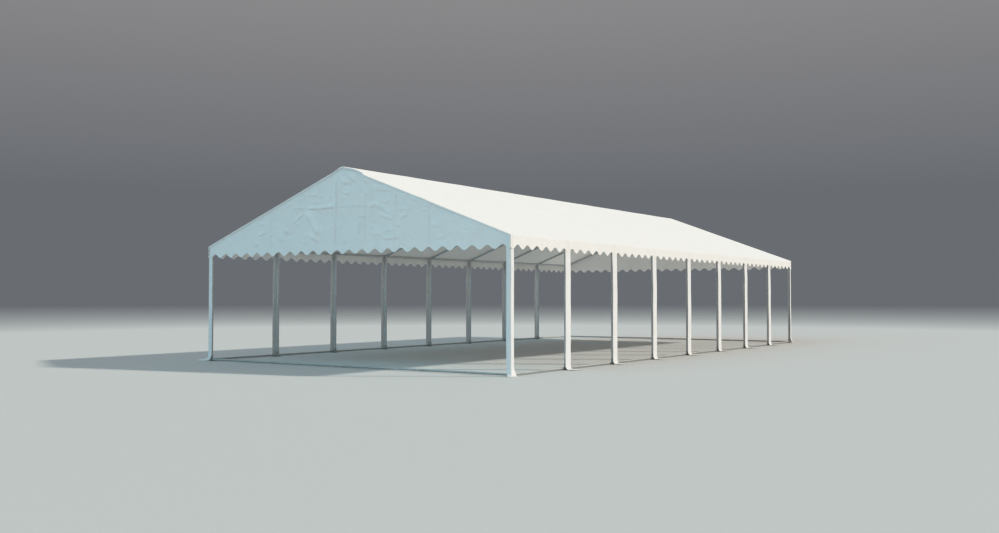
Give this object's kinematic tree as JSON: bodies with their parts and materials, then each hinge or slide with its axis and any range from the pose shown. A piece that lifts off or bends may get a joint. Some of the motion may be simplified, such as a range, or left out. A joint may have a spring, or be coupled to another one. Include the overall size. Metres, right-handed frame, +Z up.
{
  "type": "marquee tent",
  "caption": "Long open-sided party marquee: tube frame, pitched white cloth roof with gables, scalloped edges and cloth-covered posts, joined by bars on the ground.",
  "frame": {"origin": "on the ground at the middle of the tent", "axes": "+X across the tent to its right side, +Y along the ridge to the back gable, +Z up"},
  "size_m": [8.6114, 16.14, 4.0799],
  "materials": {
    "canopy_cloth": "white coated cloth with a soft sheen and fine weave",
    "frame_steel": "galvanised tube, dull grey"
  },
  "bodies": {
    "root": {"roof_panel_left": "canopy_cloth", "roof_panel_right": "canopy_cloth", "gable_front": "canopy_cloth", "gable_back": "canopy_cloth", "valance_left": "canopy_cloth", "valance_right": "canopy_cloth", "post_cover_left_1": "canopy_cloth", "post_cover_left_2": "canopy_cloth", "post_cover_left_3": "canopy_cloth", "post_cover_left_4": "canopy_cloth", "post_cover_left_5": "canopy_cloth", "post_cover_left_6": "canopy_cloth", "post_cover_left_7": "canopy_cloth", "post_cover_left_8": "canopy_cloth", "post_cover_left_9": "canopy_cloth", "post_cover_right_1": "canopy_cloth", "post_cover_right_2": "canopy_cloth", "post_cover_right_3": "canopy_cloth", "post_cover_right_4": "canopy_cloth", "post_cover_right_5": "canopy_cloth", "post_cover_right_6": "canopy_cloth", "post_cover_right_7": "canopy_cloth", "post_cover_right_8": "canopy_cloth", "post_cover_right_9": "canopy_cloth", "post_left_1": "frame_steel", "post_left_2": "frame_steel", "post_left_3": "frame_steel", "post_left_4": "frame_steel", "post_left_5": "frame_steel", "post_left_6": "frame_steel", "post_left_7": "frame_steel", "post_left_8": "frame_steel", "post_left_9": "frame_steel", "post_right_1": "frame_steel", "post_right_2": "frame_steel", "post_right_3": "frame_steel", "post_right_4": "frame_steel", "post_right_5": "frame_steel", "post_right_6": "frame_steel", "post_right_7": "frame_steel", "post_right_8": "frame_steel", "post_right_9": "frame_steel", "roof_arch_1": "frame_steel", "roof_arch_2": "frame_steel", "roof_arch_3": "frame_steel", "roof_arch_4": "frame_steel", "roof_arch_5": "frame_steel", "roof_arch_6": "frame_steel", "roof_arch_7": "frame_steel", "roof_arch_8": "frame_steel", "roof_arch_9": "frame_steel", "eave_beam_left": "frame_steel", "eave_beam_right": "frame_steel", "ridge_purlin": "frame_steel", "ground_rail_left": "frame_steel", "ground_rail_right": "frame_steel", "ground_rail_front": "frame_steel", "ground_rail_back": "frame_steel"}
  },
  "joints": []
}
